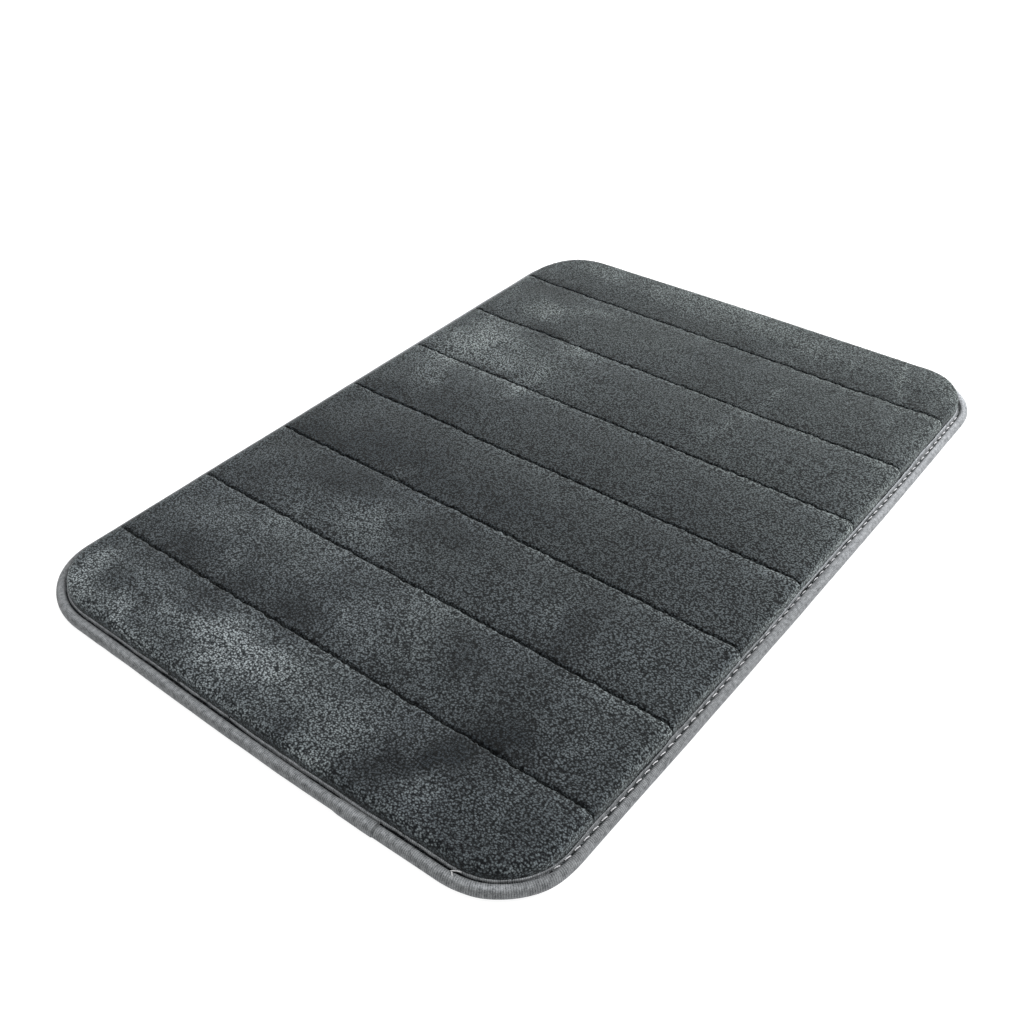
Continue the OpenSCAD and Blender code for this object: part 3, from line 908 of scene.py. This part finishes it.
def twisted_tube(lines, radius):
    """Points and faces of plied thread along each line of points, closed at both ends. lines has
    the shape (count, steps, 3)."""
    sides = TUBE_SIDES
    count, steps = lines.shape[:2]
    along = np.gradient(lines, axis=1)
    along /= np.maximum(np.linalg.norm(along, axis=2, keepdims=True), 1e-9)
    side = np.cross(along, (0, 0, 1.0))
    size = np.linalg.norm(side, axis=2, keepdims=True)
    side = np.where(size > 1e-6, side / np.maximum(size, 1e-9), (1.0, 0, 0))
    over = np.cross(side, along)
    run = np.concatenate([
        np.zeros((count, 1)),
        np.cumsum(np.linalg.norm(np.diff(lines, axis=1), axis=2), axis=1),
    ], axis=1)
    angle = np.arange(sides) * 2 * math.pi / sides
    twist = angle[None, None, :] - (math.pi * run / TWIST)[:, :, None]
    thick = radius * (0.78 + 0.30 * np.abs(np.cos(twist)))
    points = (
        lines[:, :, None, :]
        + side[:, :, None, :] * (np.cos(angle) * thick)[..., None]
        + over[:, :, None, :] * (np.sin(angle) * thick)[..., None]
    )
    base = np.arange(count)[:, None, None, None] * steps * sides
    quads = grid_quads(steps, sides, closed_columns=True)
    faces = (quads[None] + base.reshape(-1, 1, 1)).reshape(-1, 4)
    ends = np.concatenate([
        base.reshape(-1, 1) + np.arange(sides)[::-1],
        base.reshape(-1, 1) + (steps - 1) * sides + np.arange(sides),
    ])
    return points.reshape(-1, 3), [faces[:, ::-1], ends[:, ::-1]]


def stitch_lines(starts, ends, top, dip, seed, slant=0.0, side=1):
    """Middle lines of lockstitches: each comes up at its start, lies over the cloth and goes down
    at its end. starts and ends are (x, y) of the needle holes, and side is -1 for the thread
    underneath."""
    share = np.linspace(0, 1, STITCH_STEPS)
    bow = np.sin(math.pi * share) ** 0.55
    number = np.arange(len(starts))
    along = ends - starts
    across = np.stack([-along[:, 1], along[:, 0]], 1)
    across = across / np.linalg.norm(across, axis=1, keepdims=True)
    lean = slant + 0.12 * (hash01(seed, number) - 0.5)
    plan = starts[:, None] + along[:, None] * share[None, :, None]
    plan = plan + across[:, None] * (lean[:, None] * (share - 0.5) * 2)[..., None]
    rise_by = dip * (0.9 + 0.2 * hash01(seed + 1, number))
    z = top + side * (rise_by[:, None] * (bow - 1)[None])
    return np.concatenate([plan, z[..., None]], axis=2)


def make_binding_threads():
    length = edge_length(SEAM_IN)
    count = int(round(length / STITCH))
    x, y, _ = edge_point(np.arange(count + 1) * length / count, SEAM_IN, SEAM_IN)
    holes = np.stack([x, y], 1)
    starts, ends = holes[:-1], holes[1:]
    gap = ends - starts
    hidden = 0.26  # share of a stitch sunk in the tape at each end
    lines = stitch_lines(
        starts + gap * hidden, ends - gap * hidden, GROOVE_Z + 0.25, 0.5, 121, slant=-0.3
    )
    # The stitches sink below the groove's floor on the short sides, and follow the seam's wander
    # on the long ones.
    out_x, out_y = (part.T for part in outward(*lines[:, :, :2].T))
    short = smoothstep(0.05, 0.45, np.abs(out_x))
    lines[:, :, 2] -= 1.5 * short + 0.2 * smoothstep(-180, -60, lines[:, :, 0])
    inward = 0.6 * short + 0.6 * seam_wander(lines[:, :, 0]) * (1 - short)
    lines[:, :, 0] -= inward * out_x
    lines[:, :, 1] -= inward * out_y
    points, faces = twisted_tube(lines, 0.34)
    # The loose end left where the seam was closed: two strands out of one hole.
    tail_x, tail_y = -LENGTH / 2 + SEAM_IN + 0.5, -152.4
    share = np.linspace(0, 1, STITCH_STEPS)
    bow = np.sin(math.pi * share * 0.75)
    tails = []
    for reach_x, reach_y, lift in ((2.4, -5.0, 1.0), (-2.4, -3.0, 0.8)):
        tails.append(np.stack([
            tail_x + reach_x * share ** 1.2, tail_y + reach_y * share, GROOVE_Z + 0.9 + lift * bow,
        ], 1))
    tail_points, tail_faces = twisted_tube(np.array(tails), 0.32)
    faces = faces + [part + len(points) for part in tail_faces]
    light = thread_material("light_thread", (0.74, 0.74, 0.75), (0.93, 0.93, 0.94))
    upper = new_piece(
        "binding_needle_stitches", np.concatenate([points, tail_points]), faces, light
    )
    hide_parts("binding_needle_thread")
    lines = stitch_lines(starts + gap * 0.06, ends - gap * 0.06, 0.35, 0.35, 123, side=-1)
    points, faces = twisted_tube(lines, 0.24)
    grey = thread_material("light_thread_under", (0.40, 0.40, 0.41), (0.62, 0.62, 0.63))
    lower = new_piece("binding_bobbin_stitches", points, faces, grey)
    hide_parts("binding_bobbin_thread")


def make_quilt_threads():
    dark = thread_material("dark_thread", (0.018, 0.021, 0.024), (0.045, 0.050, 0.055))
    y = np.arange(-QUILT_HALF, QUILT_HALF, QUILT_STITCH)
    y = y - (y[0] + y[-1]) / 2
    for i, centre in enumerate(CHANNEL_X):
        holes = np.stack([np.full(len(y), centre), y], 1)
        for name, node, top, dip, side in (
            ("needle", f"quilt_needle_thread_{i + 1}", CHANNEL_Z + 0.25, 0.9, 1),
            ("bobbin", f"quilt_bobbin_thread_{i + 1}", BACKING_Z - 0.24, 0.35, -1),
        ):
            lines = stitch_lines(holes[:-1], holes[1:], top, dip, 131 + i, side=side)
            points, faces = twisted_tube(lines, 0.25)
            piece = new_piece(f"quilt_{name}_stitches_{i + 1}", points, faces, dark)
            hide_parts(node)


# ---- underside ----


def make_backing():
    """Knitted backing with raised loops, dented along each seam."""
    step = 1.25  # half the distance from one loop of the knit to the next
    cells_x, cells_y = int(LENGTH / step) // 2 * 2, int(WIDTH / step) // 2 * 2
    i, j = np.meshgrid(np.arange(cells_x + 1), np.arange(cells_y + 1), indexing="ij")
    long, wide = LENGTH - 2 * BACKING_IN, WIDTH - 2 * BACKING_IN
    x, y = (i / cells_x - 0.5) * long, (j / cells_y - 0.5) * wide
    # Squeezes the square corners on to the rounded outline.
    over_x, over_y = np.abs(x) - STRAIGHT_X, np.abs(y) - STRAIGHT_Y
    corner = (over_x > 0) & (over_y > 0)
    longest = np.maximum(over_x, over_y)
    far = np.hypot(over_x, over_y)
    scale = np.where(corner, longest / np.maximum(far, 1e-6), 1)
    x = np.where(corner, np.sign(x) * (STRAIGHT_X + over_x * scale), x)
    y = np.where(corner, np.sign(y) * (STRAIGHT_Y + over_y * scale), y)
    offset, _ = nearest_channel(x)
    edge = np.minimum(LENGTH / 2 - np.abs(x), WIDTH / 2 - np.abs(y))
    edge = np.where(corner, CORNER_R - longest, edge)
    loop = 0.5 + 0.5 * np.cos(math.pi * i) * np.cos(math.pi * j)
    low = BACKING_Z - 0.12 * (loop - 0.5) + 0.35 * bell(offset, 1.5)
    low = low + 0.55 * bell(edge - SEAM_IN, 1.1)
    high = low + BACKING_T - 0.1
    rows, columns = x.shape
    under = np.stack([x, y, low], 2).reshape(-1, 3)
    over = np.stack([x, y, high], 2).reshape(-1, 3)
    rim = rim_index(rows, columns)
    sides = np.stack([rim, np.roll(rim, -1), np.roll(rim, -1) + len(under), rim + len(under)], 1)
    backing = new_piece(
        "backing_knit", np.concatenate([under, over]),
        [grid_quads(rows, columns)[:, ::-1], grid_quads(rows, columns) + len(under), sides],
        backing_material(), attributes=(("loop", np.concatenate([loop.ravel()] * 2)),),
    )
    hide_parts("backing_mesh")


def make_dots():
    """A domed dot in the place of each of the CAD's."""
    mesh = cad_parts["grip_dots"].data
    flat = np.empty(len(mesh.vertices) * 3)
    mesh.vertices.foreach_get("co", flat)
    left = flat.reshape(-1, 3)[:, :2] / MM
    # Points of one dot lie within its diameter, and dots lie further apart than that.
    one_dot = 4.5
    centres = []
    while len(left):
        close = np.hypot(*(left - left[0]).T) < one_dot
        centres.append((left[close].min(0) + left[close].max(0)) / 2)
        left = left[~close]
    centres = np.array(sorted(map(tuple, np.round(centres, 3))))
    sides = 20
    # A dot's radius and height, from the backing down to the floor.
    section = ((2.0, BACKING_Z + 0.05), (2.0, 0.45), (1.75, 0.16), (1.2, 0.03), (0.5, 0.0))
    angle = np.arange(sides) * 2 * math.pi / sides
    rings = np.array([
        np.stack([r * np.cos(angle), r * np.sin(angle), np.full(sides, z)], 1) for r, z in section
    ])
    count = len(section) * sides
    shift = np.zeros((len(centres), 1, 3))
    shift[:, 0, :2] = centres
    points = (rings.reshape(1, -1, 3) + shift).reshape(-1, 3)
    base = (np.arange(len(centres)) * count)[:, None]
    quads = grid_quads(len(section), sides, closed_columns=True)
    faces = (quads[None] + base[:, :, None]).reshape(-1, 4)
    caps = np.concatenate([
        base + np.arange(sides)[::-1], base + (len(section) - 1) * sides + np.arange(sides)
    ])
    dots = new_piece("grip_dots_domed", points, [faces, caps[:, ::-1]], dot_material())
    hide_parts("grip_dots")


# ---- stage, light and camera ----


def make_stage():
    mesh = bpy.data.meshes.new("floor")
    size = 20.0
    corners = [(-size, -size, 0), (size, -size, 0), (size, size, 0), (-size, size, 0)]
    mesh.from_pydata(corners, [], [(0, 1, 2, 3)])
    made = Nodes("floor", 0.9, 0.0)
    greys = (0.0, (0.39, 0.39, 0.39)), (1.0, (0.41, 0.41, 0.41))
    made.colour(made.ramp(made.noise(40.0, 2.0), greys))
    made.shader.inputs["Emission Color"].default_value = (1, 1, 1, 1)
    made.shader.inputs["Emission Strength"].default_value = 0.84
    mesh.materials.append(made.material)
    floor = bpy.data.objects.new("floor", mesh)
    floor.location.z = -0.0005  # just under the mat, so that the two don't share a plane
    bpy.context.scene.collection.objects.link(floor)


def area_light(name, place, target, size, power, colour=(1, 1, 1)):
    data = bpy.data.lights.new(name, "AREA")
    data.shape = "SQUARE"
    data.size = size
    data.energy = power
    data.color = colour
    light = bpy.data.objects.new(name, data)
    light.location = place
    light.rotation_euler = (Vector(target) - Vector(place)).to_track_quat("-Z", "Y").to_euler()
    bpy.context.scene.collection.objects.link(light)


def make_light():
    world = bpy.data.worlds.new("studio")
    world.use_nodes = True
    sky = world.node_tree.nodes["Background"]
    sky.inputs["Color"].default_value = (1.0, 1.0, 1.0, 1)
    sky.inputs["Strength"].default_value = 0.66
    scene = bpy.context.scene
    scene.world = world
    scene.view_settings.view_transform = "Standard"
    area_light("key", (0.95, -0.9, 0.75), (0.15, -0.1, 0), 0.7, 22, (0.98, 0.98, 1.0))
    area_light("back", (1.0, 1.6, 1.3), (0.05, 0, 0), 1.4, 16)


def make_camera():
    azimuth, elevation, roll = (math.radians(a) for a in (50.197, 37.869, -1.164))
    distance, target = 0.855, Vector((-0.0515, 0.0338, 0))
    forward = Vector((
        math.sin(azimuth) * math.cos(elevation),
        math.cos(azimuth) * math.cos(elevation),
        -math.sin(elevation),
    ))
    right = forward.cross(Vector((0, 0, 1))).normalized()
    up = right.cross(forward)
    across = math.cos(roll) * right + math.sin(roll) * up
    upward = math.cos(roll) * up - math.sin(roll) * right
    data = bpy.data.cameras.new("camera")
    data.sensor_width = 36
    data.lens = 43.015
    data.shift_x, data.shift_y = 0.0442, -0.0042
    camera = bpy.data.objects.new("camera", data)
    place = target - distance * forward
    turn = Matrix((across, upward, -forward)).transposed()
    camera.matrix_world = Matrix.Translation(place) @ turn.to_4x4()
    bpy.context.scene.collection.objects.link(camera)
    bpy.context.scene.camera = camera


make_camera()
make_light()
make_stage()
make_backing()
make_dots()
make_foam(*make_cover())
make_binding()
make_binding_threads()
make_quilt_threads()
